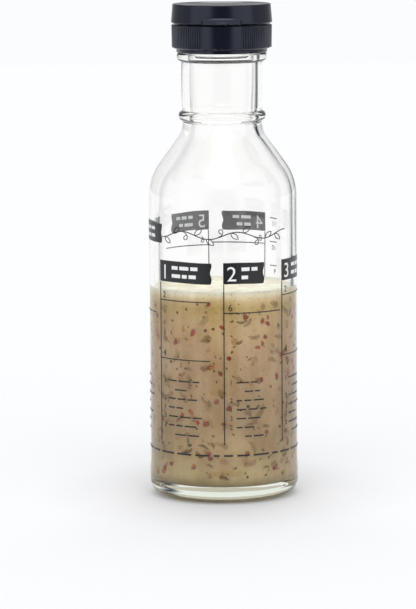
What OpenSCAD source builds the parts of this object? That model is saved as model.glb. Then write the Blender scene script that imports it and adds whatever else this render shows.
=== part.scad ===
// Salad dressing shaker bottle: a lathe-round glass bottle with a screw cap and a flip lid.
// The origin is the bottom centre of the base, +Z is up and the front of the cap faces -Y.

/* [Glass bottle] */
// Outside radius of the heel band that touches a neighbouring bottle
body_r = 32; // [28:0.5:38]
// How far the printed panel above it is set in
panel_inset = 0.3; // [0.1:0.1:0.8]
// Wall of the body
body_wall = 2.6; // [2:0.1:3.4]
// Thickness of the base at its edge
base_t = 7.1; // [4:0.1:9]
// Rounding radius of the heel
heel_r = 6.4; // [3:0.2:8]
// Rounding radius inside, between the wall and the base
corner_r = 5.5; // [3:0.5:8]
// Width of the bearing ring that the bottle stands on
foot_w = 3.5; // [2.5:0.1:5]
// Rise of the push-up under the base
pushup_h = 1.4; // [0.8:0.1:2.5]
// Height of the heel band above the table
heel_band_z = 12; // [9:0.5:16]
// Height over which the wall steps from the heel band to the panel
step_h = 3; // [1:0.5:4]
// Height where the body starts to turn in to the shoulder
shoulder_z = 129.2; // [122:0.2:134]
// Radius of the round knuckle at the top of the body
knuckle_round = 23.7; // [18:0.1:26]
// Radius of the hollow curve at the foot of the neck
hollow_round = 12; // [8:0.5:16]
// Slope of the flank of the shoulder from upright, in degrees
flank_deg = 36; // [33:0.5:42]
// Outside radius at the narrowest part of the neck
neck_r = 16.9; // [16.2:0.1:17.4]
// Wall of the neck
neck_wall = 3; // [2.2:0.1:3.4]
// How much wider the neck is under the cap than at its narrowest part
neck_flare = 0.5; // [0.1:0.1:0.9]
// How far the neck ring stands out from the neck
ring_out = 1.8; // [1:0.1:2.4]
// Height of the middle of the neck ring above the end of the shoulder
ring_up = 2.5; // [2.4:0.1:8]
// Height of the neck ring
ring_h = 4.2; // [3:0.1:4.6]
// How far the transfer bead stands out from the neck
bead_out = 1.8; // [1:0.1:2.2]
// Height of the transfer bead
bead_h = 3.6; // [2.5:0.1:4]
// Length of the neck from the end of the shoulder to the rim
neck_len = 39.1; // [34:0.1:46]
// Depth from the rim to the top of the transfer bead
finish_h = 9.8; // [9:0.1:11]

/* [Contents] */
// Height of the level of the dressing
level_z = 91; // [40:1:118]
// Gap between the dressing and the glass
fill_gap = 0.05; // [0.03:0.01:0.1]

/* [Printed scale] */
// Thickness of the fired ink
ink_t = 0.12; // [0.08:0.01:0.2]
// Gap between the ink and the glass
ink_gap = 0.04; // [0.02:0.01:0.08]
// Height of a header flag
flag_h = 9.6; // [6:0.2:12]
// Height of the bottom of the three front flags
front_flag_z = 94.4; // [93:0.2:100]
// Height of a back flag, which carries smaller print
back_flag_h = 8.8; // [6:0.2:12]
// How much higher the three back flags stand
back_flag_rise = 16.4; // [6:0.2:17]
// Length of the first flag round the bottle, in degrees
flag_arc = 47.8; // [40:0.2:50]
// Width of a column rule
rule_w = 0.45; // [0.3:0.05:0.8]
// Height of the lower end of the column rules
rule_z = 26; // [22:1:34]
// Height of the full ring line under the columns
base_line_z = 21; // [16:0.5:24]
// How far the top mark of the narrow fluid ounce scale lies below the top of the back flags
ounce_drop = 2.7; // [1:0.1:6]
// Distance between the marks of that scale
ounce_step = 10.5; // [8:0.1:12]
// Length of one of those marks round the bottle, in degrees
ounce_arc = 9; // [4:1:12]
// Where those marks start, in degrees to the right of the front
ounce_start = 128; // [110:1:130]

/* [Screw cap] */
// Radial room for the screw thread between cap and neck
thread_room = 1.45; // [1.3:0.05:1.6]
// Wall of the threaded inner skirt
skirt_wall = 0.55; // [0.5:0.05:0.9]
// How far the ribbed skirt stands out over the smooth band below it
skirt_step = 2.05; // [1.4:0.05:2.6]
// How much narrower the skirt is at its bottom
cap_taper = 0.15; // [0.05:0.05:0.4]
// Number of grip ribs all the way round
rib_count = 120; // [60:12:144]
// Depth of a grip rib
rib_depth = 0.32; // [0.2:0.02:0.4]
// Width of the smooth thumb panel at the front
panel_w = 16.8; // [14:0.2:18]
// Thickness of the deck
deck_t = 1.65; // [1.2:0.05:2]
// Height of the smooth band of the inner skirt that shows below the ribs
band_h = 1.7; // [1.2:0.1:2.4]
// Gap between the bottom of the cap and the transfer bead
foot_gap = 0.3; // [0.2:0.05:0.6]
// Thickness of the sealing liner
liner_t = 0.9; // [0.6:0.05:1.1]

/* [Pour spout] */
// Bore radius of the pour spout
spout_r = 4.6; // [3.5:0.1:5.2]
// Wall of the pour spout
spout_wall = 1.4; // [1:0.1:1.8]
// Height of the spout above the deck
spout_h = 4.6; // [3.6:0.1:5]
// Radius of the flange that sits on the deck
flange_r = 12; // [11:0.1:13]
// Thickness of that flange
flange_t = 0.9; // [0.7:0.1:1.2]
// Radius of the hole in the deck that the spout snaps into
deck_hole_r = 8.6; // [8:0.1:9]

/* [Flip lid] */
// Gap between the closed lid and the deck
parting_gap = 0.45; // [0.3:0.05:0.7]
// Height of the lid from its lower edge to its rim
lid_h = 8.2; // [7.6:0.05:10]
// How much further out the lid stands than the skirt
lid_overhang = 0.15; // [0.05:0.05:0.4]
// How much narrower the lid is at its top
lid_taper = 0.6; // [0.3:0.05:1]
// Wall of the lid
lid_wall = 1.5; // [1.2:0.1:1.7]
// Depth of the dish in the top of the lid
dish_depth = 1.3; // [0.6:0.1:1.6]
// Rounding radius of the rim of the lid
lid_round = 0.5; // [0.3:0.1:1.2]
// Width of the thumb lip
lip_w = 14.6; // [11:0.2:16]
// Height of the thumb lip
lip_h = 2.9; // [2.2:0.1:3.6]
// How far the thumb lip stands out
lip_out = 0.9; // [0.5:0.1:1.4]
// Width of the pocket in the lid at each end of the thumb lip
pocket_w = 1.3; // [0.8:0.1:2]
// Depth of those pockets
pocket_in = 0.5; // [0.3:0.1:0.7]
// Radial clearance between the lid plug and the spout
plug_gap = 0.06; // [0.03:0.01:0.1]
// Depth of the plug inside the spout
plug_in = 1.8; // [1.4:0.1:2.2]
// Width of the soft seal ring round the plug
seal_w = 2.1; // [1.6:0.1:2.6]

/* [Hinge] */
// How far the hinge axis lies behind the back of the skirt
hinge_out = 1.55; // [1.4:0.05:2]
// Radius of the hinge trunnions
pin_r = 1; // [0.8:0.05:1.15]
// Running clearance round the trunnions
pin_gap = 0.06; // [0.03:0.01:0.1]
// Outside radius of the hinge ears and knuckle
ear_r = 1.95; // [1.8:0.05:2.1]
// Width of one hinge ear
ear_w = 2.8; // [2.2:0.1:3.2]
// Width of the lid knuckle between the ears
knuckle_w = 8.4; // [7:0.1:9.4]
// Side gap between knuckle and ears
side_gap = 0.2; // [0.12:0.02:0.3]

/* [Hidden] */
$fn = 96;
eps = 0.01;

panel_r = body_r - panel_inset;
bore_r = neck_r - neck_wall;
inner_r = body_r - body_wall;
finish_r = neck_r + neck_flare;
ring_r = neck_r + ring_out;
bead_r = finish_r + bead_out;
cap_bore_r = finish_r + thread_room;
band_r = cap_bore_r + skirt_wall;
cap_r = band_r + skirt_step;
foot_r = body_r - heel_r;
ink_r = panel_r + ink_gap;
turn_in = 1 - cos(flank_deg);
flank_run = panel_r - neck_r - (knuckle_round + hollow_round) * turn_in;
neck_z = shoulder_z + (knuckle_round + hollow_round) * sin(flank_deg) + flank_run / tan(flank_deg);
ring_z = neck_z + ring_up;
rim_z = neck_z + neck_len;
bead_top_z = rim_z - finish_h;
bead_z = bead_top_z - bead_h;
deck_under_z = rim_z + liner_t;
deck_z = deck_under_z + deck_t;
cap_bottom_z = bead_top_z + foot_gap;
skirt_z = cap_bottom_z + band_h;
lid_z = deck_z + parting_gap;
total_h = lid_z + lid_h;
lid_r = cap_r + lid_overhang;
lid_top_r = lid_r - lid_taper;
lid_inner_z = total_h - dish_depth - lid_wall;
flange_top_z = deck_z + flange_t;
spout_top_z = deck_z + spout_h;
seal_z = spout_top_z + parting_gap / 4;
plug_r = spout_r - plug_gap;
plug_z = spout_top_z - plug_in;
hinge_y = cap_r + hinge_out;
hinge_z = deck_z + parting_gap / 2;
ear_x = knuckle_w / 2 + side_gap;
hinge_room = 0.3;
rim_round = 0.9;
bead_edge = 0.6;
bead_under = min(bead_out, bead_h - bead_edge - 0.1);
// Columns: start in degrees to the right of the front, then the flag as a share of the first one
front_columns = [[-57.2, 1], [0, 0.68], [51.2, 0.84]];
back_columns = [[142.4, 0.8], [191.7, 0.76], [249, 1.17]];
// The trailing end of a flag waves in three steps, in degrees
flag_wave = [0, -1.2, 0.8];
// Fill marks: start and length in degrees, then the height as a share of the column
front_marks = [[-57.2, 47, 0.886], [-57.2, 47, 0.52], [0, 49, 0.82], [51.2, 47, 0.912], [51.2, 47, 0.534]];
back_marks = [[142.4, 47, 0.936], [142.4, 47, 0.5], [191.7, 44, 0.923], [191.7, 44, 0.46], [249, 47, 0.643]];

// Points on an arc in the (radius, height) plane, from angle a0 to a1, counted from +radius
function arc(r0, z0, r, a0, a1, n = 8) =
    [for (i = [0 : n]) let (a = a0 + (a1 - a0) * i / n) [r0 + r * cos(a), z0 + r * sin(a)]];

// An S curve from (ra, za) to (rb, zb) that runs straight up at both ends
function ease(ra, za, rb, zb, n = 16) =
    [for (i = [0 : n]) let (t = i / n) [ra + (rb - ra) * (3 * t * t - 2 * t * t * t), za + (zb - za) * t]];

// The shoulder from radius ra in to radius rb: a round knuckle, a straight flank and a hollow curve
function shoulder(ra, rb, knuckle, hollow) =
    let (run = ra - rb - (knuckle + hollow) * turn_in,
        end_z = shoulder_z + (knuckle + hollow) * sin(flank_deg) + run / tan(flank_deg))
    concat(arc(ra - knuckle, shoulder_z, knuckle, 0, flank_deg, 12),
        arc(rb + hollow, end_z, hollow, 180 + flank_deg, 180, 10));

// Outer outline of the glass from the foot to the rim
glass_outside = concat(
    arc(foot_r, heel_r, heel_r, -90, 0),
    ease(body_r, heel_band_z, panel_r, heel_band_z + step_h, 5),
    shoulder(panel_r, neck_r, knuckle_round, hollow_round),
    [for (i = [0 : 10]) let (a = -90 + 18 * i)
        [neck_r + (ring_r - neck_r) * cos(a), ring_z + ring_h / 2 * sin(a)]],
    [[finish_r, ring_z + ring_h]],
    arc(bead_r - bead_under, bead_z + bead_under, bead_under, -90, 0),
    arc(bead_r - bead_edge, bead_top_z - bead_edge, bead_edge, 0, 90, 4),
    arc(finish_r - rim_round, rim_z - rim_round, rim_round, 0, 90, 4));

// Inner outline of the glass, from the middle of the base up to the rim
glass_inside = concat(
    [[0, base_t + pushup_h * 0.5]],
    arc(inner_r - corner_r, base_t + corner_r, corner_r, -90, 0),
    shoulder(inner_r, bore_r, knuckle_round - body_wall, hollow_round + neck_wall));

function reversed(list) = [for (i = [len(list) - 1 : -1 : 0]) list[i]];

// A ring of rectangular section, from radius ra to rb and from height za to zb
module ring(ra, rb, za, zb) {
    rotate_extrude() translate([ra, za]) square([rb - ra, zb - za]);
}

// A curved strip of ink on the glass that starts a0 degrees right of the front
module ink_strip(a0, arc_deg, z, h) {
    rotate([0, 0, a0 - 90])
        rotate_extrude(angle = arc_deg)
            translate([ink_r, z]) square([ink_t, h]);
}

module bottle() {
    pushup = [[foot_r - foot_w, 0], [foot_r - foot_w - pushup_h, pushup_h * 0.6],
        [foot_r - 2 * foot_w - pushup_h, pushup_h], [0, pushup_h]];
    color([0.86, 0.92, 0.92, 0.35])
        rotate_extrude()
            polygon(concat(reversed(pushup), glass_outside,
                arc(bore_r + rim_round, rim_z - rim_round, rim_round, 90, 180, 4), reversed(glass_inside)));
}

// The dressing fills the inner outline of the glass up to its level
module dressing() {
    r = inner_r - fill_gap;
    edge = corner_r - fill_gap;
    z = base_t + fill_gap;
    color([0.66, 0.56, 0.43])
        rotate_extrude()
            polygon(concat([[0, z + pushup_h * 0.5]], arc(r - edge, z + edge, edge, -90, 0),
                [[r, level_z], [0, level_z]]));
}

// A header flag: a strip whose trailing end is cut in three steps like a waving edge
module flag(column, z, h) {
    for (i = [0 : 2])
        ink_strip(column[0], column[1] * flag_arc + flag_wave[i], z + i * h / 3, h / 3 + (i < 2 ? eps : 0));
}

module flags() {
    color([0.1, 0.1, 0.11]) {
        for (c = front_columns) flag(c, front_flag_z, flag_h);
        for (c = back_columns) flag(c, front_flag_z + back_flag_rise, back_flag_h);
    }
}

// The rules and fill marks of some columns, whose flags start at height top_z
module column_lines(columns, marks, top_z) {
    rule_deg = rule_w / panel_r * 180 / PI;
    column_h = top_z - rule_z;
    for (c = columns)
        ink_strip(c[0], rule_deg, rule_z, column_h - rule_w / 2);
    for (m = marks)
        ink_strip(m[0], m[1], rule_z + m[2] * column_h, rule_w);
}

// A narrow scale of fluid ounces between the last front column and the first back one
module ounce_marks() {
    top_z = front_flag_z + back_flag_rise + back_flag_h - ounce_drop;
    for (z = [top_z : -ounce_step : rule_z]) ink_strip(ounce_start, ounce_arc, z, rule_w);
}

module scale_lines() {
    color([0.12, 0.12, 0.13]) {
        ounce_marks();
        column_lines(front_columns, front_marks, front_flag_z);
        column_lines(back_columns, back_marks, front_flag_z + back_flag_rise);
        ink_strip(0, 360, base_line_z, rule_w);
    }
}

module cap_liner() {
    color([0.93, 0.93, 0.9])
        ring(bore_r, finish_r, rim_z, rim_z + liner_t);
}

// The spout: a flange on the deck, a nozzle with a rolled pouring lip and a snap barrel below
module pour_spout() {
    outer = spout_r + spout_wall;
    snap = deck_hole_r - 0.1;
    color([0.16, 0.17, 0.19])
        rotate_extrude()
            polygon(concat(
                [[spout_r, deck_under_z - 0.5], [snap - 0.7, deck_under_z - 0.5],
                    [snap, deck_under_z - 0.1], [snap, deck_z],
                    [flange_r, deck_z], [flange_r, flange_top_z - 0.3], [flange_r - 0.3, flange_top_z]],
                [[outer + 0.6, flange_top_z], [outer, flange_top_z + 0.6], [outer, spout_top_z - 1.1]],
                arc(outer, spout_top_z - 0.55, 0.55, -90, 90, 6),
                [[spout_r, spout_top_z]]));
}

// Rib crests: one closed star-shaped outline, with the thumb panel cut out of the star
module rib_outline() {
    step = 360 / rib_count;
    low = cap_r - rib_depth;
    polygon([for (i = [0 : 2 * rib_count - 1])
        let (a = i * step / 2, r = i % 2 == 0 ? cap_r : low) [r * cos(a), r * sin(a)]]);
}

module skirt_ribs() {
    skirt_h = deck_z - skirt_z;
    difference() {
        intersection() {
            translate([0, 0, skirt_z + 0.5]) linear_extrude(skirt_h - 0.9) rib_outline();
            cylinder(h = deck_z, r1 = cap_r - cap_taper * deck_z / skirt_h, r2 = cap_r);
        }
        translate([0, 0, skirt_z]) cylinder(h = skirt_h, r = cap_r - rib_depth - 1);
        translate([-panel_w / 2, -cap_r - 2, skirt_z]) cube([panel_w, cap_r, skirt_h]);
    }
}

// One hinge ear with its bore, on a bracket that runs down into the skirt
module hinge_ear(side) {
    x = side > 0 ? ear_x : -ear_x - ear_w;
    root_y = cap_r - 1.6;
    difference() {
        union() {
            translate([x, hinge_y, hinge_z]) rotate([0, 90, 0]) cylinder(h = ear_w, r = ear_r);
            translate([x, root_y, hinge_z - 2 * ear_r])
                cube([ear_w, hinge_y + ear_r - root_y, 2 * ear_r - (hinge_z - deck_z)]);
        }
        translate([x - 1, hinge_y, hinge_z]) rotate([0, 90, 0]) cylinder(h = ear_w + 2, r = pin_r + pin_gap);
    }
}

module screw_cap() {
    core_r = cap_r - rib_depth;
    low_r = core_r - cap_taper;
    top = deck_z;
    color([0.11, 0.12, 0.14]) {
        difference() {
            union() {
                rotate_extrude()
                    polygon([[deck_hole_r, deck_under_z], [cap_bore_r, deck_under_z],
                        [cap_bore_r, cap_bottom_z + 0.4], [cap_bore_r + 0.2, cap_bottom_z],
                        [band_r - 0.2, cap_bottom_z], [band_r, cap_bottom_z + 0.2], [band_r, skirt_z - 0.4],
                        [low_r - 0.5, skirt_z], [low_r, skirt_z + 0.5],
                        [core_r, top - 0.35], [core_r - 0.35, top], [deck_hole_r, top]]);
                skirt_ribs();
                thumb_panel();
                for (side = [-1, 1]) hinge_ear(side);
            }
            knuckle_room();
        }
    }
}

// The smooth panel brings the front of the skirt flush with the crests of the ribs
module thumb_panel() {
    flush_deg = 2 * asin(panel_w / 2 / cap_r);
    skirt_h = deck_z - skirt_z;
    rotate([0, 0, -90 - flush_deg / 2])
        rotate_extrude(angle = flush_deg)
            polygon([[cap_r - rib_depth - 1, skirt_z + 0.6], [cap_r - cap_taper, skirt_z + 0.6],
                [cap_r, deck_z - 0.4], [cap_r - rib_depth - 1, deck_z - 0.4]]);
}

// Room in the skirt for the knuckle of the lid to turn
module knuckle_room() {
    translate([-knuckle_w / 2 - side_gap, hinge_y, hinge_z])
        rotate([0, 90, 0]) cylinder(h = knuckle_w + 2 * side_gap, r = ear_r + hinge_room);
}

// Outline of the lid in section: tapered wall, rounded rim, dished top
module lid_section() {
    rim_mid = lid_top_r - lid_round;
    dish_r = rim_mid - 0.6;
    dish = [for (i = [0 : 8]) let (t = 1 - i / 8)
        [dish_r * t, total_h - dish_depth * (1 - t * t * t * t)]];
    polygon(concat(
        [[lid_r - lid_wall, lid_z], [lid_r - 0.35, lid_z], [lid_r, lid_z + 0.35]],
        arc(rim_mid, total_h - lid_round, lid_round, 0, 90, 6),
        dish,
        [[0, lid_inner_z], [lid_top_r - lid_wall - 1.2, lid_inner_z],
            [lid_top_r - lid_wall, lid_inner_z - 1.2]]));
}

// The thumb lip: a short ledge on the front of the lid, with a hollow face that catches the nail
module thumb_lip() {
    lip_deg = 2 * asin(lip_w / 2 / lid_r);
    face_r = lid_r + lip_out;
    rotate([0, 0, -90 - lip_deg / 2])
        rotate_extrude(angle = lip_deg)
            polygon([[lid_r - 1, lid_z], [face_r - 0.3, lid_z], [face_r, lid_z + 0.3],
                [face_r - 0.3, lid_z + 0.55 * lip_h], [face_r - 0.05, lid_z + 0.75 * lip_h],
                [face_r - 0.2, lid_z + 0.9 * lip_h], [face_r - 0.55, lid_z + lip_h],
                [lid_r - 1, lid_z + lip_h]]);
}

// A shallow pocket in the wall of the lid at each end of the thumb lip, which fills its inner degree
module lip_pockets() {
    lip_deg = 2 * asin(lip_w / 2 / lid_r);
    pocket_deg = 1 + pocket_w / lid_r * 180 / PI;
    for (start = [-89 - lip_deg / 2 - pocket_deg, -91 + lip_deg / 2])
        rotate([0, 0, start])
            rotate_extrude(angle = pocket_deg)
                translate([lid_r - pocket_in, lid_z - 1]) square([pocket_in + 1, 1 + 0.6 * lip_h]);
}

// The knuckle and its two trunnions, on a web from the rear wall of the lid
module lid_hinge() {
    reach = ear_x + ear_w;
    rear_y = lid_r - lid_wall;
    translate([-knuckle_w / 2, hinge_y, hinge_z]) rotate([0, 90, 0]) cylinder(h = knuckle_w, r = ear_r);
    translate([-reach, hinge_y, hinge_z]) rotate([0, 90, 0]) cylinder(h = 2 * reach, r = pin_r);
    translate([-knuckle_w / 2, rear_y, lid_z])
        cube([knuckle_w, hinge_y - rear_y, ear_r - parting_gap / 2]);
}

module flip_lid() {
    color([0.13, 0.14, 0.16]) {
        difference() {
            rotate_extrude() lid_section();
            for (x = [-ear_x - ear_w - side_gap, ear_x - side_gap])
                translate([x, hinge_y, hinge_z]) rotate([0, 90, 0])
                    cylinder(h = ear_w + 2 * side_gap, r = ear_r + hinge_room);
            lip_pockets();
        }
        thumb_lip();
        lid_hinge();
        ring(plug_r - 1.2, plug_r, plug_z, lid_inner_z + eps);
    }
}

module lid_seal() {
    seal_r = plug_r + seal_w;
    color([0.75, 0.75, 0.72])
        ring(plug_r + fill_gap, seal_r, seal_z, lid_inner_z - fill_gap);
}

bottle();
dressing();
flags();
scale_lines();
cap_liner();
pour_spout();
screw_cap();
flip_lid();
lid_seal();
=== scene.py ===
import math

import bmesh
import bpy
import numpy as np
from mathutils import Matrix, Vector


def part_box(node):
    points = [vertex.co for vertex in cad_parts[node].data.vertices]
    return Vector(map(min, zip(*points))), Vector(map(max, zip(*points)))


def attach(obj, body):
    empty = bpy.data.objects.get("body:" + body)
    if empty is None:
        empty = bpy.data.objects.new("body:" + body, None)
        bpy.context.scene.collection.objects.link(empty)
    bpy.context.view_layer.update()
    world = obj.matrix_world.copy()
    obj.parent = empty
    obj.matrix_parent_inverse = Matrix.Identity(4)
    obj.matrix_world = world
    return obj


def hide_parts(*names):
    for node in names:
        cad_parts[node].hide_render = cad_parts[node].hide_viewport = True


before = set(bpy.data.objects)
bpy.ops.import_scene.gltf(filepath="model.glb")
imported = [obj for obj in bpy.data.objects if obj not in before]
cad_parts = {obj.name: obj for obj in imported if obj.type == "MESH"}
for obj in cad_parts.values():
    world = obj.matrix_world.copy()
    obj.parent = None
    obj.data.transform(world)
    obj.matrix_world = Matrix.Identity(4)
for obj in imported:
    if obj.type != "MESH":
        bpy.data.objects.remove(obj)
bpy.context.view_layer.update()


# Camera: the photograph is taken from 1.45 m away and a little above the cap, with a long lens,
# so the sides of the bottle stay upright and the lid is seen almost edge on.
MM = 0.001
camera_distance = 1452.7 * MM
camera_height = 275.8 * MM
tilt_down = math.radians(7.60)
turn_left = math.radians(0.26)
lean = math.radians(0.38)
focal_in_frame_heights = 3398.8 / 609
sensor_height = 36.0
camera_data = bpy.data.cameras.new("camera")
camera_data.sensor_width = sensor_height
camera_data.lens = focal_in_frame_heights * sensor_height
camera_data.clip_end = 20
camera = bpy.data.objects.new("camera", camera_data)
bpy.context.scene.collection.objects.link(camera)
aim = (Matrix.Rotation(turn_left, 4, "Z") @ Matrix.Rotation(math.pi / 2 - tilt_down, 4, "X")
       @ Matrix.Rotation(-lean, 4, "Z"))
camera.matrix_world = Matrix.Translation((0, -camera_distance, camera_height)) @ aim
bpy.context.scene.camera = camera
bpy.context.scene.view_settings.view_transform = "Standard"


# Studio: seamless white paper under and behind the bottle, tall white panels to its sides, a dim
# room behind the camera and two soft lamps above, so the glass and the black plastic have bright
# flanks and a dark middle.
def tone(code):
    """Turns an sRGB hex colour into the linear colour that a shader takes."""
    parts = [int(code[i:i + 2], 16) / 255 for i in (1, 3, 5)]
    return [c / 12.92 if c <= 0.04045 else ((c + 0.055) / 1.055) ** 2.4 for c in parts] + [1]


def add(tree, kind, sockets=None, stops=(), **settings):
    """Adds a shader node with its settings. A socket gets a value, or a link when it is given as
    (node, output); a colour ramp gets its stops as (place, sRGB hex or grey level)."""
    made = tree.nodes.new("ShaderNode" + kind)
    for name, value in settings.items():
        setattr(made, name, value)
    for name, value in (sockets or {}).items():
        if isinstance(value, tuple) and isinstance(value[0], bpy.types.Node):
            tree.links.new(value[0].outputs[value[1]], made.inputs[name])
        else:
            made.inputs[name].default_value = value
    for _ in stops[2:]:
        made.color_ramp.elements.new(0.5)
    for i, (place, colour) in enumerate(stops):
        made.color_ramp.elements[i].position = place
        made.color_ramp.elements[i].color = tone(colour) if isinstance(colour, str) else [colour] * 3 + [1]
    return made


def front_to_back(tree, direction):
    """How far round a direction points: 0 straight in front of the bottle, 1 straight behind it."""
    parts = add(tree, "SeparateXYZ", {"Vector": direction})
    made = add(tree, "MapRange", {"Value": (parts, "Y"), "From Min": -1, "From Max": 1})
    return made, "Result"


def bent_light(tree, direction):
    """Light that the glass has bent finds white paper behind the bottle and dark gaps at its two
    ends. The paper hangs a few degrees to the left, so the right-hand lines come out darker."""
    turned = add(tree, "VectorRotate", {"Vector": direction, "Angle": paper_turn}, rotation_type="Z_AXIS")
    made = add(tree, "ValToRGB", {"Fac": front_to_back(tree, (turned, "Vector"))}, stops=[
        (0.0, 1.0), (0.70, 1.0), (0.755, "#9AA0A4"), (0.785, "#2C3238"), (0.82, "#2C3238"),
        (0.85, "#A0A6AA"), (0.88, 1.0)])
    return made, "Color"


paper_turn = math.radians(-13)
paper_white = tone("#FBFCFE")
world = bpy.data.worlds.new("white studio")
bpy.context.scene.world = world
world.use_nodes = True
sky = world.node_tree
sky.nodes.clear()
place = add(sky, "TexCoord")
# The white panels stand from 0.065 to 0.32 of the way round, the dim room in front of them
on_surfaces = add(sky, "ValToRGB", {"Fac": front_to_back(sky, (place, "Generated"))}, stops=[
    (0.0, 0.04), (0.024, 0.06), (0.065, 0.95), (0.32, 1.0), (0.42, 0.42), (0.62, 0.42), (0.72, 0.32),
    (0.90, 0.32), (0.96, 0.5)])
rays = add(sky, "LightPath")
room = add(sky, "Background", {"Color": (on_surfaces, "Color"), "Strength": 1.0})
bent = add(sky, "Background", {"Color": bent_light(sky, (place, "Generated")), "Strength": 1.0})
sweep = add(sky, "Background", {"Color": paper_white, "Strength": 1.0})
unseen = add(sky, "MixShader", {
    0: (rays, "Is Transmission Ray"), 1: (room, "Background"), 2: (bent, "Background")})
seen = add(sky, "MixShader", {0: (rays, "Is Camera Ray"), 1: (unseen, "Shader"), 2: (sweep, "Background")})
add(sky, "OutputWorld", {"Surface": (seen, "Shader")})

for name, energy, angle, slope in (("high front softbox", 1.1, 50, 42),
                                   ("top softbox behind", 1.1, 50, -40),
                                   ("strip light above", 0.2, 14, 2)):
    lamp_data = bpy.data.lights.new(name, "SUN")
    lamp_data.energy = energy
    lamp_data.angle = math.radians(angle)
    lamp = bpy.data.objects.new(name, lamp_data)
    bpy.context.scene.collection.objects.link(lamp)
    lamp.matrix_world = Matrix.Rotation(math.radians(slope), 4, "X")


def put_mesh(name, points, quads, triangles=None, smooth=True):
    """Makes an object from arrays of points in mm, four-cornered and three-cornered faces."""
    mesh = bpy.data.meshes.new(name)
    faces = [np.asarray(quads, dtype=np.int32).reshape(-1, 4)]
    if triangles is not None and len(triangles):
        faces.append(np.asarray(triangles, dtype=np.int32).reshape(-1, 3))
    counts = np.concatenate([np.full(len(f), f.shape[1], dtype=np.int32) for f in faces])
    corners = np.concatenate([f.ravel() for f in faces])
    mesh.vertices.add(len(points))
    mesh.vertices.foreach_set("co", (np.asarray(points, dtype=np.float64) * MM).ravel())
    mesh.loops.add(len(corners))
    mesh.loops.foreach_set("vertex_index", corners)
    mesh.polygons.add(len(counts))
    starts = np.concatenate([[0], np.cumsum(counts)[:-1]])
    mesh.polygons.foreach_set("loop_start", starts.astype(np.int32))
    mesh.polygons.foreach_set("loop_total", counts)
    mesh.polygons.foreach_set("use_smooth", np.full(len(counts), smooth))
    mesh.update(calc_edges=True)
    mesh.validate()
    made = bpy.data.objects.new(name, mesh)
    bpy.context.scene.collection.objects.link(made)
    return made


def new_material(name):
    """A material with no nodes yet, and its node tree."""
    made = bpy.data.materials.new(name)
    made.use_nodes = True
    made.node_tree.nodes.clear()
    return made, made.node_tree


table_side = 3000
table_front = 320
floor_corners = [[-table_side, -table_front, 0], [table_side, -table_front, 0],
                 [table_side, table_side, 0], [-table_side, table_side, 0]]
floor = put_mesh("floor", floor_corners, [[0, 1, 2, 3]], smooth=False)
paper, tree = new_material("white seamless paper")
rays = add(tree, "LightPath")
place = add(tree, "TexCoord")
heading = add(tree, "VectorMath", {"Vector": (place, "Object")}, operation="NORMALIZE")
lit = add(tree, "BsdfDiffuse", {"Color": tone("#CBCCCE")})
# The paper glows a little, less so where the bottle stands close to it, which keeps its soft shadow
open_sky = add(tree, "AmbientOcclusion", {"Distance": 55 * MM}, samples=8)
spread = add(tree, "Math", {0: (open_sky, "AO"), 1: 1.4}, operation="POWER")
strength = add(tree, "Math", {0: (spread, "Value"), 1: 0.295}, operation="MULTIPLY")
glow = add(tree, "Emission", {"Color": paper_white, "Strength": (strength, "Value")})
shadowed = add(tree, "AddShader", {0: (lit, "BSDF"), 1: (glow, "Emission")})
# Seen through the glass, by metres from the axis, the paper has a painted shade: tan under the push-up and
# almost black under the bearing ring, which the clear heel shows as a dark line
off_axis = add(tree, "VectorMath", {"Vector": (place, "Object")}, operation="LENGTH")
painted_contact_shade = add(tree, "ValToRGB", {"Fac": (off_axis, "Value")}, stops=[
    (0.0, "#B8AE98"), (0.020, "#8C806A"), (0.024, "#3A3226"), (0.031, "#3A3226"), (0.0345, "#C4BEAC"),
    (0.050, "#F0EEE8"), (0.080, 1.0)])
# The bent light is multiplied by the painted shadow under the bottle
through_with_painted_shade = add(tree, "Mix", {0: 1.0, 6: bent_light(tree, (heading, "Vector")), 7: (painted_contact_shade, "Color")},
                  data_type="RGBA", blend_type="MULTIPLY")
through = add(tree, "Emission", {"Color": (through_with_painted_shade, 2), "Strength": 1.0})
sheet = add(tree, "MixShader", {
    0: (rays, "Is Transmission Ray"), 1: (shadowed, "Shader"), 2: (through, "Emission")})
add(tree, "OutputMaterial", {"Surface": (sheet, "Shader")})
floor.data.materials.append(paper)


# Bottle: clear flint glass blown into a two-part mould, then fire-polished, so every edge is round
# and the inside of the wall is a little uneven. The screw thread stands on the finish.
body_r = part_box("bottle")[1][0] / MM
rim_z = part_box("bottle")[1][2] / MM
heel_band = 0.3
heel_band_top = 12.0
heel_band_fade = 3.0
panel_r = body_r - heel_band
wall = 2.6
neck_r = 16.9
bore_r = 13.9
finish_r = 17.4
inner_r = body_r - wall
base_t = 7.1
heel_round = 6.4
corner_round = 5.5
pushup = 3.9
base_dome = 0.7
foot_w = 3.5
foot_slope_w = 1.4
pushup_w = 4.9
shoulder_z = 129.2
knuckle = 23.7
hollow = 12.0
flank_deg = 36
ring_out = 1.8
ring_half_h = 2.1
rim_round = 0.9
bead_out = 1.8
bead_round = 0.6
bead_bottom = rim_z - 13.4
bead_top = rim_z - 9.8
thread_pitch = 4.233
thread_height = 1.15
thread_turns = 1.5
thread_start = rim_z - 8.2


def arc(r0, z0, radius, start, end, count=12):
    """Points on a circle in the (radius, height) plane, from one angle to another in degrees."""
    a = np.radians(np.linspace(start, end, count))
    return np.column_stack([r0 + radius * np.cos(a), z0 + radius * np.sin(a)])


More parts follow.
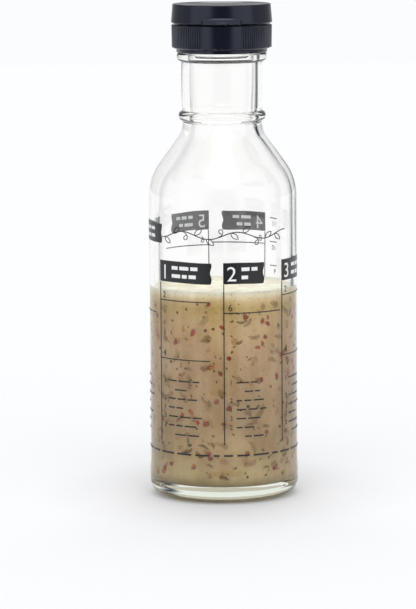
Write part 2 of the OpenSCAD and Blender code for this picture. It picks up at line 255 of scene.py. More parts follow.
def shoulder(outer, inner, round_r, hollow_r):
    """A convex arc in from the body, a straight flank and a hollow arc up into the neck."""
    flank = math.radians(flank_deg)
    turn_in = 1 - math.cos(flank)
    run = outer - inner - (round_r + hollow_r) * turn_in
    end_z = shoulder_z + (round_r + hollow_r) * math.sin(flank) + run / math.tan(flank)
    return np.vstack([arc(outer - round_r, shoulder_z, round_r, 0, flank_deg, 28),
                      arc(inner + hollow_r, end_z, hollow_r, 180 + flank_deg, 180, 20)]), end_z


def resample(outline, step, soften):
    """Spaces an outline's points evenly, then rolls its corners off with a moving average."""
    length = np.concatenate([[0], np.cumsum(np.hypot(*np.diff(outline, axis=0).T))])
    even = np.linspace(0, length[-1], int(length[-1] / step) + 1)
    line = np.column_stack([np.interp(even, length, outline[:, i]) for i in (0, 1)])
    reach = max(1, int(round(soften / step)))
    kernel = np.hanning(2 * reach + 3)[1:-1]
    kernel /= kernel.sum()
    padded = np.vstack([np.repeat(line[:1], reach, 0), line, np.repeat(line[-1:], reach, 0)])
    soft = np.column_stack([np.convolve(padded[:, i], kernel, "valid") for i in (0, 1)])
    soft[0], soft[-1] = line[0], line[-1]
    return soft


def thin_out(line, limit):
    """Drops points on straight stretches: keeps one where the direction has turned by the limit
    in radians since the last kept point, or where 5 mm have passed."""
    heading = np.unwrap(np.arctan2(*np.diff(line, axis=0).T))
    kept, last = [0], 0
    for i in range(1, len(line) - 1):
        far = np.hypot(*(line[i] - line[last])) > 5
        if abs(heading[i] - heading[last]) > limit or far:
            kept.append(i)
            last = i
    return line[kept + [len(line) - 1]]


def outward(made):
    """Points every face of a closed mesh outwards."""
    shape = bmesh.new()
    shape.from_mesh(made.data)
    bmesh.ops.recalc_face_normals(shape, faces=shape.faces)
    shape.to_mesh(made.data)
    shape.free()


def grid_quads(rows, cols, closed=False):
    """Faces between the points of a grid, numbered row by row; closed joins the last column to the
    first."""
    i, j = np.meshgrid(np.arange(rows - 1), np.arange(cols - (not closed)), indexing="ij")
    k = (j + 1) % cols
    quads = np.stack([i * cols + j, i * cols + k, (i + 1) * cols + k, (i + 1) * cols + j], -1)
    return quads.reshape(-1, 4)


def lathe(name, outline, sides, push=None):
    """Turns an outline of (radius, height) about Z. push(angle, radius, height) adds to the radius.
    An end that lies on the axis becomes one pole point."""
    poles = [outline[0][0] < 1e-6, outline[-1][0] < 1e-6]
    rows = outline[int(poles[0]):len(outline) - int(poles[1])]
    angle = np.linspace(0, 2 * math.pi, sides, endpoint=False)
    radius = np.repeat(rows[:, :1], sides, 1)
    height = np.repeat(rows[:, 1:], sides, 1)
    around = np.repeat(angle[None, :], len(rows), 0)
    if push:
        radius = radius + push(around, radius, height)
    points = np.stack([radius * np.sin(around), -radius * np.cos(around), height], -1).reshape(-1, 3)
    quads = grid_quads(len(rows), sides, closed=True)
    triangles = []
    ring = np.arange(sides)
    after = (ring + 1) % sides
    last = (len(rows) - 1) * sides
    if poles[0]:
        points = np.vstack([points, [0, 0, outline[0][1]]])
        triangles.append(np.stack([np.full(sides, len(points) - 1), after, ring], -1))
    if poles[1]:
        points = np.vstack([points, [0, 0, outline[-1][1]]])
        triangles.append(np.stack([np.full(sides, len(points) - 1), last + ring, last + after], -1))
    if not any(poles):
        quads = np.vstack([quads, np.stack([last + ring, last + after, after, ring], -1)])
    made = put_mesh(name, points, quads, np.vstack(triangles) if triangles else None)
    outward(made)
    return made


outer_shoulder, neck_z = shoulder(panel_r, neck_r, knuckle, hollow)
inner_shoulder, _ = shoulder(inner_r, bore_r, knuckle - wall, hollow + neck_r - bore_r)
ring_z = neck_z + 2.5
half_turn = np.linspace(math.pi / 2, -math.pi / 2, 20)
neck_ring = np.column_stack([neck_r + ring_out * np.cos(half_turn),
                             ring_z + ring_half_h * np.sin(half_turn)])
up_band = np.linspace(0, 1, 8)
eased = 3 * up_band ** 2 - 2 * up_band ** 3
heel_step = np.column_stack([body_r - heel_band * eased, heel_band_top + heel_band_fade * up_band])
foot_inner = body_r - heel_round - foot_w
inside = np.vstack([
    [[0, base_t + base_dome]],
    arc(inner_r - corner_round, base_t + corner_round, corner_round, -90, 0, 20),
    inner_shoulder,
    arc(bore_r + rim_round, rim_z - rim_round, rim_round, 180, 90, 8)])
outside = np.vstack([
    arc(finish_r - rim_round, rim_z - rim_round, rim_round, 90, 0, 8),
    arc(finish_r + bead_out - bead_round, bead_top - bead_round, bead_round, 90, 0, 6),
    arc(finish_r, bead_bottom + bead_out, bead_out, 0, -90, 12),
    [[finish_r, ring_z + 2 * ring_half_h]],
    neck_ring,
    outer_shoulder[::-1],
    heel_step[::-1],
    arc(body_r - heel_round, heel_round, heel_round, 0, -90, 24),
    [[foot_inner, 0], [foot_inner - foot_slope_w, pushup * 0.6], [foot_inner - pushup_w, pushup],
     [0, pushup]]])
inside = thin_out(resample(inside, 0.12, 0.35), 0.05)
outside = thin_out(resample(outside, 0.12, 0.40), 0.05)


def thread_and_swell(angle, radius, height):
    """The thread is a rounded ridge that climbs one pitch a turn and fades in and out over the
    first and last 0.12 of a turn. The inside of the wall waves by about 0.1 mm, as two sines of
    angle and height, and is up to 0.45 mm thicker behind the neck ring, as a bell curve of height."""
    ridge = np.zeros_like(radius)
    on_finish = (height > bead_top + 0.15) & (radius > finish_r - 0.6)
    for lap in (0, 1):
        along = angle / (2 * math.pi) + lap
        fade = np.clip(along / 0.12, 0, 1) * np.clip((thread_turns - along) / 0.12, 0, 1)
        offset = np.abs(height - (thread_start + thread_pitch * along))
        ridge = np.maximum(ridge, thread_height * fade * np.clip(1.25 - offset / 0.75, 0, 1) ** 0.8)
    swell = 0.10 * np.sin(2 * angle + height / 21) + 0.06 * np.sin(3 * angle - height / 13 + 1.3)
    swell = swell - 0.45 * np.exp(-((height - ring_z - 1) / 6.0) ** 2)
    between = (height > base_t + 2) & (height < rim_z - 3)
    inner_limit = np.interp(height, inner_shoulder[:, 1], inner_shoulder[:, 0])
    outermost = np.minimum(inner_r + 0.05, inner_limit + 0.15)
    is_inner = between & (radius > bore_r - 0.1) & (radius < outermost)
    return np.where(on_finish, ridge, 0) + np.where(is_inner, swell, 0)


glass = lathe("bottle_glass", np.vstack([inside, outside]), 160, thread_and_swell)


def clear_glass():
    """Flint glass: index 1.52, a trace of green from iron, and no roughness after fire polishing."""
    made, tree = new_material("fire-polished flint glass")
    place = add(tree, "TexCoord")
    ripple = add(tree, "TexNoise", {"Vector": (place, "Object"), "Scale": 1 / (22 * MM), "Detail": 1.0})
    bump = add(tree, "Bump", {"Height": (ripple, "Fac"), "Strength": 0.12, "Distance": 0.6 * MM})
    shell = add(tree, "BsdfPrincipled", {
        "Base Color": tone("#FFFFFF"), "Roughness": 0.0, "IOR": 1.52, "Transmission Weight": 1.0,
        "Normal": (bump, "Normal")})
    rays = add(tree, "LightPath")
    passing = add(tree, "BsdfTransparent", {"Color": tone("#F0F4F2")})
    mixed = add(tree, "MixShader", {0: (rays, "Is Shadow Ray"), 1: (shell, "BSDF"), 2: (passing, "BSDF")})
    iron = add(tree, "VolumeAbsorption", {"Color": tone("#ECF1E7"), "Density": 20.0})
    add(tree, "OutputMaterial", {"Surface": (mixed, "Shader"), "Volume": (iron, "Volume")})
    return made


glass.data.materials.append(clear_glass())
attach(glass, "bottle")
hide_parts("bottle")


# Dressing: vinegar and oil shaken to a cloudy tan emulsion that wets the glass. A cream of small
# bubbles lies on top, and it is paler under the surface where light comes in from above.
level_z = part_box("dressing")[1][2] / MM
wet = 0.25
wet_r = inner_r + wet
meniscus = 0.8
foam = 1.5
across = np.linspace(wet_r, 0, 40)
surface = np.column_stack([across, level_z - meniscus + meniscus * np.exp(-(wet_r - across) / 1.1)])
corner = arc(inner_r - corner_round, base_t + corner_round, corner_round + wet, -90, 0, 24)
dressing_outline = np.vstack([[[0, base_t + base_dome - wet]], corner,
                              [[wet_r, base_t + corner_round + 2], [wet_r, level_z - 3]], surface])


def cloudy_emulsion():
    """An opaque emulsion: tan below, cream near the level, with soft streaks and fine pepper. Where it
    wets the glass (index 1.52 against 1.499) a flat enough glance is thrown back inside the glass,
    dimmed by the droplets that lie against it."""
    made, tree = new_material("cloudy oil and vinegar emulsion")
    place = add(tree, "TexCoord")
    parts = add(tree, "SeparateXYZ", {"Vector": (place, "Object")})
    height = add(tree, "MapRange", {"Value": (parts, "Z"), "From Min": 0.0, "From Max": level_z * MM})
    depth_tone = add(tree, "ValToRGB", {"Fac": (height, "Result")}, stops=[
        (0.00, "#CCC0A2"), (0.10, "#C6B489"), (0.25, "#BAA27A"), (0.45, "#BCA37F"), (0.70, "#CAAF8C"),
        (0.86, "#D0B68A"), (0.925, "#CCB37A"), (0.955, "#DEC798"), (0.98, "#F1E7CA"), (1.00, "#FFFDF4")])
    cloud = add(tree, "TexNoise", {"Vector": (place, "Object"), "Scale": 1 / (16 * MM), "Detail": 3.0})
    cloud_tone = add(tree, "ValToRGB", {"Fac": (cloud, "Fac")},
                     stops=[(0.35, "#D8CCB8"), (0.65, "#FFFFFF")])
    drawn_out = add(tree, "Mapping", {"Vector": (place, "Object"), "Scale": (1, 1, 0.12)})
    streak = add(tree, "TexNoise", {"Vector": (drawn_out, "Vector"), "Scale": 1 / (5 * MM), "Detail": 2.0})
    streak_tone = add(tree, "ValToRGB", {"Fac": (streak, "Fac")},
                      stops=[(0.38, "#DDCFB4"), (0.62, "#FFFFFF")])
    clouded = add(tree, "Mix", {0: 0.6, 6: (depth_tone, "Color"), 7: (cloud_tone, "Color")},
                  data_type="RGBA", blend_type="MULTIPLY")
    toned = add(tree, "Mix", {0: 0.4, 6: (clouded, 2), 7: (streak_tone, "Color")},
                data_type="RGBA", blend_type="MULTIPLY")
    grain = add(tree, "TexNoise", {"Vector": (place, "Object"), "Scale": 1 / (0.9 * MM), "Detail": 2.0})
    grain_tone = add(tree, "ValToRGB", {"Fac": (grain, "Fac")},
                     stops=[(0.28, "#8E7A58"), (0.40, "#FFFFFF")])
    grained = add(tree, "Mix", {0: 0.35, 6: (toned, 2), 7: (grain_tone, "Color")},
                  data_type="RGBA", blend_type="MULTIPLY")
    body = add(tree, "BsdfPrincipled", {
        "Base Color": (grained, 2), "Roughness": 0.45, "Specular IOR Level": 0.1,
        "Subsurface Weight": 0.2, "Subsurface Radius": (0.005, 0.004, 0.003), "Subsurface Scale": 0.6})
    wetting = add(tree, "Fresnel", {"IOR": 1.499 / 1.52})
    below = add(tree, "Math", {0: (parts, "Z"), 1: (level_z - foam) * MM}, operation="LESS_THAN")
    thrown = add(tree, "Math", {0: (wetting, "Fac"), 1: (below, "Value")}, operation="MULTIPLY")
    mirror = add(tree, "BsdfGlossy", {"Color": tone("#D2CCBE"), "Roughness": 0.0})
    both = add(tree, "MixShader", {0: (thrown, "Value"), 1: (body, "BSDF"), 2: (mirror, "BSDF")})
    add(tree, "OutputMaterial", {"Surface": (both, "Shader")})
    return made


dressing = lathe("dressing_body", dressing_outline, 160)
dressing.data.materials.append(cloudy_emulsion())
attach(dressing, "bottle")
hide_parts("dressing")


# Spices: pink peppercorns, chilli, mustard seed and flakes of dried herb that hang in the emulsion.
# Those that touch the glass look sharp; the ones behind them are veiled and take on its colour.
def crumb_shapes():
    """The twelve corners and twenty faces of an icosahedron with a radius of one."""
    g = (1 + 5 ** 0.5) / 2
    corners = np.array([[-1, g, 0], [1, g, 0], [-1, -g, 0], [1, -g, 0], [0, -1, g], [0, 1, g],
                        [0, -1, -g], [0, 1, -g], [g, 0, -1], [g, 0, 1], [-g, 0, -1], [-g, 0, 1]])
    faces = np.array([[0, 11, 5], [0, 5, 1], [0, 1, 7], [0, 7, 10], [0, 10, 11], [1, 5, 9], [5, 11, 4],
                      [11, 10, 2], [10, 7, 6], [7, 1, 8], [3, 9, 4], [3, 4, 2], [3, 2, 6], [3, 6, 8],
                      [3, 8, 9], [4, 9, 5], [2, 4, 11], [6, 2, 10], [8, 6, 7], [9, 8, 1]])
    return corners / np.linalg.norm(corners[0]), faces


def scatter(name, count, seed, sizes, stretch, colours, ragged, cover):
    """Crumbs on the wet wall. Each is a flattened icosahedron, stretched along its own direction, its
    corners moved at random by the ragged share; its colour is one of those given, kept per corner.
    The emulsion closes over its rim, so a crumb covers less there; cover is the share in its middle."""
    pick = np.random.default_rng(seed)
    unit, faces = crumb_shapes()
    angle = pick.uniform(-math.pi, math.pi, count)
    height = pick.uniform(base_t + 4, level_z - 5, count)
    size = sizes[0] + (sizes[1] - sizes[0]) * pick.beta(1.6, 2.4, count)
    long = size * pick.uniform(*stretch, count)
    spin = pick.uniform(0, math.pi, count)
    local = unit[None] * np.stack([long, size, np.minimum(size * 0.4, 0.4)], -1)[:, None, :] / 2
    local = local * pick.uniform(1 - ragged, 1 + ragged, (count, 12, 1))
    local[:, :, 1] += ragged * 0.5 * long[:, None] * (2 * local[:, :, 0] / long[:, None]) ** 2
    c, s = np.cos(spin)[:, None], np.sin(spin)[:, None]
    across = local[:, :, 0] * c - local[:, :, 1] * s
    up = local[:, :, 0] * s + local[:, :, 1] * c
    radius = wet_r + local[:, :, 2] * 0.3
    around = angle[:, None] + across / wet_r
    points = np.stack([radius * np.sin(around), -radius * np.cos(around), height[:, None] + up], -1)
    corners = (np.arange(count)[:, None, None] * 12 + faces[None]).reshape(-1, 3)
    made = put_mesh(name, points.reshape(-1, 3), np.zeros((0, 4)), corners)
    shades = np.array([tone(c) for c in colours])[pick.integers(0, len(colours), count)]
    shades = np.repeat(shades, 12, 0) * pick.uniform(0.8, 1.2, (count * 12, 1))
    middle = np.clip(np.abs(unit[:, 2]) / 0.85, 0, 1)[None, :] ** 0.8
    shades[:, 3] = (middle * pick.uniform(0.7, 1, (count, 1)) * cover).ravel()
    layer = made.data.color_attributes.new("crumb", "FLOAT_COLOR", "POINT")
    layer.data.foreach_set("color", shades.astype(np.float32).ravel())
    made.data.materials.append(crumbs)
    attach(made, "bottle")


# Each crumb has its own colour, dulled in patches as a dry husk is, and hardly any shine when wet
crumbs, tree = new_material("dried herb and pepper crumbs")
own = add(tree, "VertexColor", layer_name="crumb")
place = add(tree, "TexCoord")
husk = add(tree, "TexNoise", {"Vector": (place, "Object"), "Scale": 1 / (0.6 * MM), "Detail": 2.0})
husk_tone = add(tree, "ValToRGB", {"Fac": (husk, "Fac")}, stops=[(0.3, "#B8B0A4"), (0.7, "#FFFFFF")])
husky = add(tree, "Mix", {0: 0.6, 6: (own, "Color"), 7: (husk_tone, "Color")},
            data_type="RGBA", blend_type="MULTIPLY")
husk_body = add(tree, "BsdfPrincipled", {
    "Base Color": (husky, 2), "Roughness": 0.6, "Specular IOR Level": 0.1})
drowned = add(tree, "BsdfTransparent", {"Color": tone("#FFFFFF")})
both = add(tree, "MixShader", {0: (own, "Alpha"), 1: (drowned, "BSDF"), 2: (husk_body, "BSDF")})
add(tree, "OutputMaterial", {"Surface": (both, "Shader")})
for name, count, seed, sizes, stretch, ragged, cover, colours in (
        ("veiled_pepper", 110, 14, (2.2, 4.2), (1.0, 1.5), 0.15, 0.36,
         ["#A8684C", "#AC6448", "#B07850"]),
        ("veiled_herb", 130, 15, (2.0, 4.2), (1.2, 2.4), 0.3, 0.45,
         ["#927038", "#8E6A30", "#9E7A3E", "#846632"]),
        ("mustard_seed", 70, 16, (1.4, 2.4), (1.0, 1.2), 0.1, 0.75,
         ["#C98A48", "#D09A58", "#BC8040"]),
        ("pink_pepper", 78, 11, (2.2, 3.3), (1.0, 1.25), 0.12, 0.85,
         ["#8E3026", "#A03C30", "#8A342C", "#A84636"]),
        ("chilli_flakes", 60, 21, (1.8, 3.0), (1.1, 1.7), 0.25, 0.85,
         ["#C05430", "#C86838", "#B4583A", "#B04430"]),
        ("dark_pepper", 22, 22, (1.5, 2.4), (1.0, 1.3), 0.15, 0.9,
         ["#6A2420", "#5C2A1E", "#4C301C"]),
        ("herb_flakes", 64, 12, (1.2, 2.2), (1.8, 4.0), 0.3, 0.8,
         ["#765C1E", "#7E6228", "#6A5020", "#826A2C"]),
        ("herb_dust", 270, 13, (0.7, 1.6), (1.0, 1.8), 0.25, 0.8,
         ["#6C4E20", "#785826", "#5E441C", "#80622C"])):
    scatter(name, count, seed, sizes, stretch, colours, ragged, cover)


# Print: ceramic ink screened on the glass and fired. Six columns each have a black flag at the top,
# a rule down the left, fill marks with plain numbers and rows of short bars. A leafy line runs over
# the front columns and a broken line round the foot.
ink_in = panel_r + 0.02
ink_out = panel_r + 0.15
degree = panel_r * math.pi / 180
rule_w = 0.45
flag_h = 9.6
back_flag_h = 8.8
front_z = 94.4
back_z = front_z + 16.4
rule_z = 26.0
# Columns are (degrees from the front, length of the flag in degrees); marks are (degrees, length in
# degrees, share of the column's height, number)
front_columns = [(-57.2, 47.8), (0.0, 32.5), (51.2, 40.2)]
back_columns = [(142.4, 38.2), (191.7, 36.3), (249.0, 55.9)]
front_marks = [(-57.2, 47, 0.886, "2"), (-57.2, 47, 0.52, "4"), (0, 49, 0.82, "6"),
               (51.2, 47, 0.912, "2"), (51.2, 47, 0.534, "4")]
back_marks = [(142.4, 47, 0.936, "8"), (142.4, 47, 0.5, "4"), (191.7, 44, 0.923, "6"),
              (191.7, 44, 0.46, "3"), (249, 47, 0.643, "5")]
row_z = 29.2
row_step = 3.85
row_count = 7
indented_rows = (0, 5)
bar_h = 0.62
ounce_step = 10.5
ounce_count = 9
ounce_top = back_z + back_flag_h - 2.7
foot_line = (20.9, 21.7)
foot_line_gap = 1.9
vine_z = 115.2


def wrap(u, v, radius):
    """Bends flat drawing coordinates in mm round the bottle: u to the right of the front, v up."""
    return np.stack([radius * np.sin(u / panel_r), -radius * np.cos(u / panel_r), v], -1)


def closed_sheet(inner, outer):
    """Joins two grids of points, an inner and an outer sheet, round their edges into a thin slab."""
    rows, cols = inner.shape[:2]
    count = rows * cols
    points = np.vstack([inner.reshape(-1, 3), outer.reshape(-1, 3)])
    sheet = grid_quads(rows, cols)
    edge = np.concatenate([np.arange(cols), np.arange(2, rows + 1) * cols - 1,
                           count - 2 - np.arange(cols - 1), np.arange(rows - 2, 0, -1) * cols])
    after = np.roll(edge, -1)
    side = np.stack([edge, after, after + count, edge + count], -1)
    return points, np.vstack([sheet[:, ::-1], sheet + count, side])


def slab(u, v, lift=0.0):
    """Ink over a grid of (u, v). A second ink lies on the first, lifted off the glass."""
    return closed_sheet(wrap(u, v, ink_in + lift), wrap(u, v, ink_out + lift))


def print_piece(name, slabs, material, *nodes):
    """Joins slabs into one printed piece on the bottle."""
    points, quads, start = [], [], 0
    for p, q in slabs:
        points.append(p)
        quads.append(q + start)
        start += len(p)
    made = put_mesh(name, np.vstack(points), np.vstack(quads), smooth=False)
    outward(made)
    made.data.materials.append(material)
    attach(made, "bottle")
    if nodes:
        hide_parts(*nodes)


def bar(u0, u1, v0, v1, lift=0.0):
    """A straight-sided strip between two places round the bottle and two heights."""
    cols = max(2, int(abs(u1 - u0) / 1.5) + 2)
    return slab(*np.meshgrid(np.linspace(u0, u1, cols), np.array([v0, v1])), lift)


# Fired ink is nearly black and a little glossy, both a trifle uneven from the screen
ink, tree = new_material("fired black ceramic ink")
place = add(tree, "TexCoord")
screen = add(tree, "TexNoise", {"Vector": (place, "Object"), "Scale": 1 / (0.6 * MM), "Detail": 2.0})
ink_tone = add(tree, "ValToRGB", {"Fac": (screen, "Fac")}, stops=[(0.3, "#0F1013"), (0.7, "#1A1B1F")])
ink_gloss = add(tree, "ValToRGB", {"Fac": (screen, "Fac")}, stops=[(0.3, 0.28), (0.7, 0.42)])
ink_body = add(tree, "BsdfPrincipled", {
    "Base Color": (ink_tone, "Color"), "Roughness": (ink_gloss, "Color")})
add(tree, "OutputMaterial", {"Surface": (ink_body, "BSDF")})


def flag_slab(start, length, bottom, height):
    """A flag: straight at the hoist, its free end and its two long edges waving a little."""
    s, f = np.meshgrid(np.linspace(0, 1, 40), np.linspace(0, 1, 12))
    free_end = degree * (length + 0.6 * np.sin(f * 3.0 * math.pi - 0.4))
    ripple = 0.22 * np.sin(s * math.pi * 1.6 + 0.4)
    return slab(start * degree + s * free_end, bottom + 0.3 + f * (height - 0.6) + ripple * s)


headers = ([(a, length, front_z, flag_h) for a, length in front_columns]
           + [(a, length, back_z, back_flag_h) for a, length in back_columns])
print_piece("header_flags", [flag_slab(*header) for header in headers], ink, "flags")

sides = ((front_columns, front_marks, front_z), (back_columns, back_marks, back_z))
lines = []
for columns, marks, top in sides:
    lines += [bar(a * degree, a * degree + rule_w, rule_z, top + 0.1) for a, _ in columns]
    for a, length, share, _ in marks:
        z = rule_z + share * (top - rule_z)
        lines.append(bar(a * degree, (a + length) * degree, z, z + rule_w))
draw = np.random.default_rng(7)
for a, _ in front_columns + back_columns:
    for row in range(row_count):
        indented = row in indented_rows
        z = row_z + row * row_step
        u = a * degree + (9.0 if indented else 5.4)
        for _ in range(int(draw.integers(2, 4)) - indented):
            width = draw.uniform(2.4, 6.0)
            lines.append(bar(u, u + width, z, z + bar_h))
            u += width + 1.0
for z in ounce_top - ounce_step * np.arange(ounce_count):
    lines.append(bar(128 * degree, 137 * degree, z, z + rule_w))
u, end = 0.0, 2 * math.pi * panel_r
while u < end - 9:
    width = draw.uniform(3.0, 8.5)
    lines.append(bar(u, u + width, *foot_line))
    u += width + foot_line_gap
lines.append(bar(u, end - foot_line_gap, *foot_line))
print_piece("scale_rules", lines, ink, "scale_lines")


def stroke(u, v, width):
    """A line of ink along a path of (u, v) points, as wide as given and pointed at both ends."""
    heading = np.arctan2(np.gradient(v), np.gradient(u))
    half = width / 2 * np.clip(np.minimum(np.arange(len(u)), np.arange(len(u))[::-1]) / 2 + 0.35, 0, 1)
    side = np.array([[-1.0], [1.0]]) * half
    return slab(u - side * np.sin(heading), v + side * np.cos(heading))


def vine():
    """A thin climbing stem that waves once in 24 mm. A leaf is a slanted line bulged to both sides by
    half a sine wave; every third shoot is a tendril, a spiral that loses 0.72 of its radius."""
    along = np.linspace(-30, 31, 200)
    stem = vine_z + 1.5 * np.sin(along * 2 * math.pi / 24)
    made = [stroke(along, stem, 0.42)]
    f = np.linspace(0, 1, 16)
    for i, u in enumerate(np.arange(-28, 29, 5.2)):
        z = np.interp(u, along, stem)
        up = 1 if i % 2 else -1
        if i % 3 == 2:
            turn = up * f * 2.1 * math.pi
            curl = 1.9 * (1 - 0.72 * f)
            made.append(stroke(u + 1.8 * f + curl * np.sin(turn) * up,
                               z + up * 2.2 - up * curl * np.cos(turn), 0.34))
        else:
            lean_u, lean_v, belly = 3.4, up * 2.6, 0.95 * np.sin(f * math.pi)
            for edge in (-1, 1):
                made.append(stroke(u + f * lean_u - edge * belly * lean_v / 4.3,
                                   z + f * lean_v + edge * belly * lean_u / 4.3, 0.34))
    return made


print_piece("vine_line", vine(), ink)


def numeral(name, text, u, v, height, lift):
    """A plain numeral: outlined flat, given 0.12 mm of thickness and wrapped round the bottle."""
    curve = bpy.data.curves.new(name, "FONT")
    curve.body = text
    curve.size = height
    curve.extrude = 0.06
    drawn = bpy.data.objects.new(name, curve)
    bpy.context.scene.collection.objects.link(drawn)
    bpy.context.view_layer.update()
    ready = drawn.evaluated_get(bpy.context.evaluated_depsgraph_get())
    mesh = bpy.data.meshes.new_from_object(ready)
    bpy.data.objects.remove(drawn)
    bpy.data.curves.remove(curve)
    flat = np.empty(len(mesh.vertices) * 3)
    mesh.vertices.foreach_get("co", flat)
    flat = flat.reshape(-1, 3)
    radius = panel_r + lift + flat[:, 2]
    bent = wrap(flat[:, 0] + u, flat[:, 1] + v, 1.0)
    bent[:, :2] *= radius[:, None]
    mesh.vertices.foreach_set("co", (bent * MM).ravel())
    mesh.update()
    return mesh


def numerals(name, entries, lift, material):
    """Joins numerals (text, u, v, height) into one printed piece."""
    joined = bmesh.new()
    for i, (text, u, v, height) in enumerate(entries):
        mesh = numeral(name + str(i), text, u, v, height, lift)
        joined.from_mesh(mesh)
        bpy.data.meshes.remove(mesh)
    bmesh.ops.remove_doubles(joined, verts=joined.verts, dist=1e-7)
    bmesh.ops.recalc_face_normals(joined, faces=joined.faces)
    mesh = bpy.data.meshes.new(name)
    joined.to_mesh(mesh)
    joined.free()
    made = bpy.data.objects.new(name, mesh)
    bpy.context.scene.collection.objects.link(made)
    made.data.materials.append(material)
    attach(made, "bottle")


entries = []
for columns, marks, top in sides:
    for a, _, share, text in marks:
        entries.append((text, a * degree + 2.0, rule_z + share * (top - rule_z) + 1.2, 3.9))
for a, _ in front_columns + back_columns:
    for row in range(1, row_count):
        if row not in indented_rows:
            entries.append((str(row % 3 + 1), a * degree + 2.4, row_z - 0.6 + row * row_step, 2.9))
for i in range(ounce_count):
    entries.append((str(11 - i), 129 * degree, ounce_top - i * ounce_step - 3.4, 3.2))
numerals("scale_numbers", entries, 0.09, ink)

# The white ink is opaque and has the same low gloss
white_ink, tree = new_material("fired white ceramic ink")
place = add(tree, "TexCoord")
screen = add(tree, "TexNoise", {"Vector": (place, "Object"), "Scale": 1 / (0.6 * MM), "Detail": 2.0})
white_tone = add(tree, "ValToRGB", {"Fac": (screen, "Fac")}, stops=[(0.3, "#E4E6E6"), (0.7, "#F4F5F5")])
white_body = add(tree, "BsdfPrincipled", {"Base Color": (white_tone, "Color"), "Roughness": 0.35})
add(tree, "OutputMaterial", {"Surface": (white_body, "BSDF")})
flag_numbers = [(str(i + 1), a * degree + 1.4, z + height * 0.16, height * 0.92)
                for i, (a, _, z, height) in enumerate(headers)]
# The white is screened under the black and again over it, so a flag reads from behind as well.
numerals("flag_numbers", flag_numbers, 0.17, white_ink)
numerals("flag_numbers_behind", flag_numbers, 0.075, white_ink)
words = []
for a, length, z, height in headers:
    for row, share in enumerate((0.60, 0.24)):
        u, end = a * degree + 7.8, (a + length) * degree - 3.0 - 1.8 * row
        while u < end - 2.0:
            width = min(draw.uniform(2.2, 4.8), end - u)
            words += [bar(u, u + width, z + height * share, z + height * (share + 0.16), lift)
                      for lift in (-0.01, 0.06)]
            u += width + 0.9
print_piece("flag_bars", words, white_ink)


# Screw cap, flip lid and pour spout: injection-moulded black polypropylene. The cap comes from a
# polished mould; the lid, hinged at its back, and the spout, snapped into its deck, are a little duller.
def black_polypropylene(name, rough_low, rough_high):
    """Moulded plastic: near-black with a blue cast, index 1.49 and a soft gloss. The stipple of the
    mould is drawn at 0.25 mm, coarser than it is, so that it shows."""
    made, tree = new_material(name)
    place = add(tree, "TexCoord")
    cast = add(tree, "TexNoise", {"Vector": (place, "Object"), "Scale": 1 / (9 * MM), "Detail": 3.0})
    colour = add(tree, "ValToRGB", {"Fac": (cast, "Fac")}, stops=[(0.3, "#141622"), (0.7, "#181A28")])
    gloss = add(tree, "ValToRGB", {"Fac": (cast, "Fac")}, stops=[(0.3, rough_low), (0.7, rough_high)])
    stipple = add(tree, "TexNoise", {"Vector": (place, "Object"), "Scale": 1 / (0.25 * MM), "Detail": 1.0})
    bump = add(tree, "Bump", {"Height": (stipple, "Fac"), "Strength": 0.15, "Distance": 0.02 * MM})
    body = add(tree, "BsdfPrincipled", {
        "Base Color": (colour, "Color"), "Roughness": (gloss, "Color"), "IOR": 1.49,
        "Normal": (bump, "Normal"), "Specular Tint": tone("#E7F1FF")})
    add(tree, "OutputMaterial", {"Surface": (body, "BSDF")})
    return made


def dress(node, material):
    """Gives a piece of the plain model its material; its mesh and place stay as they are."""
    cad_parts[node].data.materials.clear()
    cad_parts[node].data.materials.append(material)


polished_black = black_polypropylene("polished black moulded polypropylene", 0.10, 0.14)
dress("screw_cap", polished_black)
dress("flip_lid", black_polypropylene("satin black moulded polypropylene", 0.14, 0.19))
dress("pour_spout", black_polypropylene("glossy black moulded spout", 0.15, 0.22))


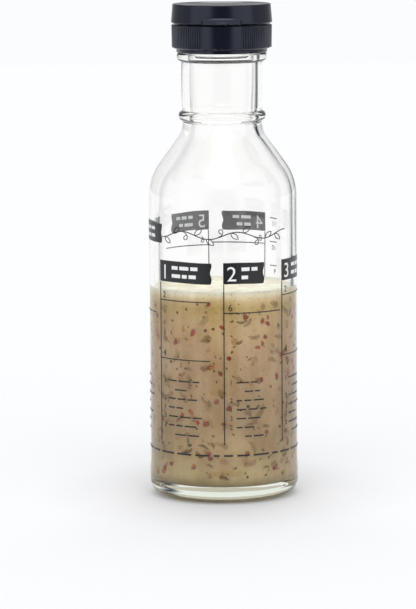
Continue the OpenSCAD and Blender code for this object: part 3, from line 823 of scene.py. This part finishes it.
# Grip ribs: rounded crests with grooves between them, moulded into the skirt of the cap all the way
# round but for the smooth panel at the front; their crests lie a hair over the ribs of the plain cap.
cap_r = 21.45
cap_taper = 0.15
liner_t = 0.9
deck_t = 1.65
foot_gap = 0.3
band_h = 1.7
panel_w = 16.8
deck_z = rim_z + liner_t + deck_t
skirt_z = bead_top + foot_gap + band_h
rib_count = 120
rib_depth = 0.31
rib_root = cap_r - 0.8
panel_half = math.degrees(math.asin(panel_w / 2 / cap_r))
around = np.linspace(panel_half + 0.5, 360 - panel_half - 0.5, 16 * 106)


def rib_height(degrees):
    """Height of the ribs over their grooves: 1 - |x|^3, where x runs from -1 to 1 over each rib."""
    x = 2 * ((degrees * rib_count / 360 + 0.5) % 1.0) - 1
    return 1 - np.abs(x) ** 3


rib_z = np.array([skirt_z + 0.5, skirt_z + 0.75, deck_z - 0.65, deck_z - 0.4])
taper = cap_taper * (deck_z - rib_z) / (deck_z - skirt_z) + np.array([0.2, 0.0, 0.0, 0.2])
crest = cap_r + 0.01 - taper[:, None] - rib_depth * (1 - rib_height(around))[None, :]
turn = np.radians(around)[None, :]
heights = np.repeat(rib_z[:, None], len(around), 1)
sheets = [np.stack([radius * np.sin(turn), -radius * np.cos(turn), heights], -1)
          for radius in (np.full_like(crest, rib_root), crest)]
ribs = put_mesh("grip_ribs", *closed_sheet(*sheets), smooth=False)
outward(ribs)
ribs.data.materials.append(polished_black)
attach(ribs, "cap")


# Liner and lid seal: a white foam ring pressed between the cap and the rim, and a soft silicone
# ring round the plug of the lid. Both are hidden when the lid is closed.
def soft_ring(name, low, high, roughness):
    """A soft matt ring, a little uneven in colour."""
    made, tree = new_material(name)
    place = add(tree, "TexCoord")
    cells = add(tree, "TexNoise", {"Vector": (place, "Object"), "Scale": 1 / (0.8 * MM), "Detail": 2.0})
    colour = add(tree, "ValToRGB", {"Fac": (cells, "Fac")}, stops=[(0.3, low), (0.7, high)])
    bump = add(tree, "Bump", {"Height": (cells, "Fac"), "Strength": 0.3, "Distance": 0.05 * MM})
    body = add(tree, "BsdfPrincipled", {
        "Base Color": (colour, "Color"), "Roughness": roughness, "Normal": (bump, "Normal")})
    add(tree, "OutputMaterial", {"Surface": (body, "BSDF")})
    return made


dress("cap_liner", soft_ring("white foam liner", "#E2E2DC", "#F0F0EC", 0.6))
dress("lid_seal", soft_ring("translucent silicone seal", "#B9BAB6", "#CBCCC8", 0.4))
